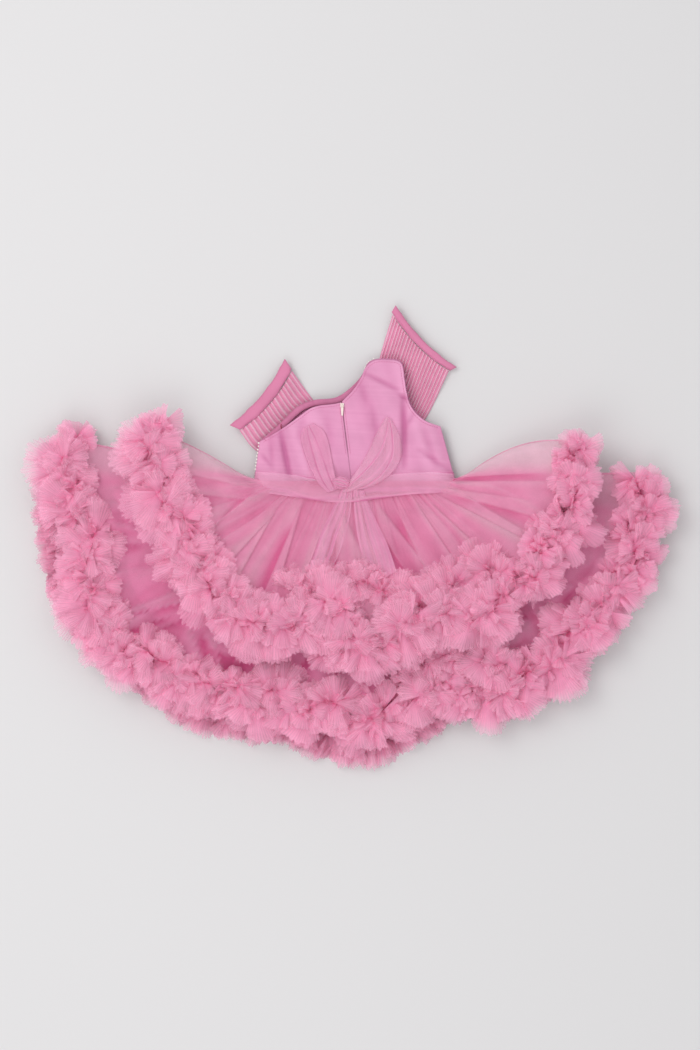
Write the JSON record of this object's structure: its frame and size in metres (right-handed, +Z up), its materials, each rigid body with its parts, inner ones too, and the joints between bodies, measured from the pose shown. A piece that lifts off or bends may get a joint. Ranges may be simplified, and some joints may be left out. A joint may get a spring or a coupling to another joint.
{
  "type": "toddler party dress",
  "caption": "One-shoulder toddler party dress laid flat with its back up: fitted bodice with a zip and tied sash, pleated bow, and a wide tulle skirt in tiers with gathered ruffles.",
  "frame": {"origin": "middle of the laid dress's bounding box, on the surface that it lies on", "axes": "+X towards the side with the shoulder strap, +Y from the hem towards the shoulder, +Z up out of the dress's back"},
  "size_m": [0.8556, 0.6273, 0.099],
  "materials": {
    "satin": "soft satin",
    "tulle": "sheer matte net",
    "ruffle": "gathered sheer net",
    "organza": "crisp pleated organza",
    "zip_tape": "woven tape with fine teeth",
    "enamel": "cream enamel"
  },
  "bodies": {
    "dress": {"bodice_front": "satin", "bodice_back_left": "satin", "bodice_back_right": "satin", "neckline_binding": "organza", "zip_tape": "zip_tape", "zip_slider": "enamel", "bow_wing_right": "organza", "bow_edge_right": "organza", "bow_wing_left": "organza", "bow_edge_left": "organza", "bow_centre": "organza", "upper_tier_back": "tulle", "upper_tier_front": "tulle", "lower_tier_back": "tulle", "lower_tier_front": "tulle", "lining_back": "satin", "lining_front": "satin", "upper_ruffle_back_inner": "ruffle", "upper_ruffle_back_outer": "ruffle", "lower_ruffle_back_inner": "ruffle", "lower_ruffle_back_outer": "ruffle", "upper_ruffle_front": "ruffle", "lower_ruffle_front": "ruffle", "sash": "tulle", "sash_knot": "tulle", "sash_loop_left": "tulle", "sash_loop_right": "tulle", "sash_tail_left": "tulle", "sash_tail_right": "tulle"},
    "pull": {"zip_pull": "enamel"}
  },
  "joints": [
    {"name": "pull_hinge", "type": "hinge", "parent": "dress", "child": "pull", "pos_m": [-0.007, 0.1762, 0.0277], "axis": [1, 0, 0], "range_deg": [-150, 0]}
  ]
}
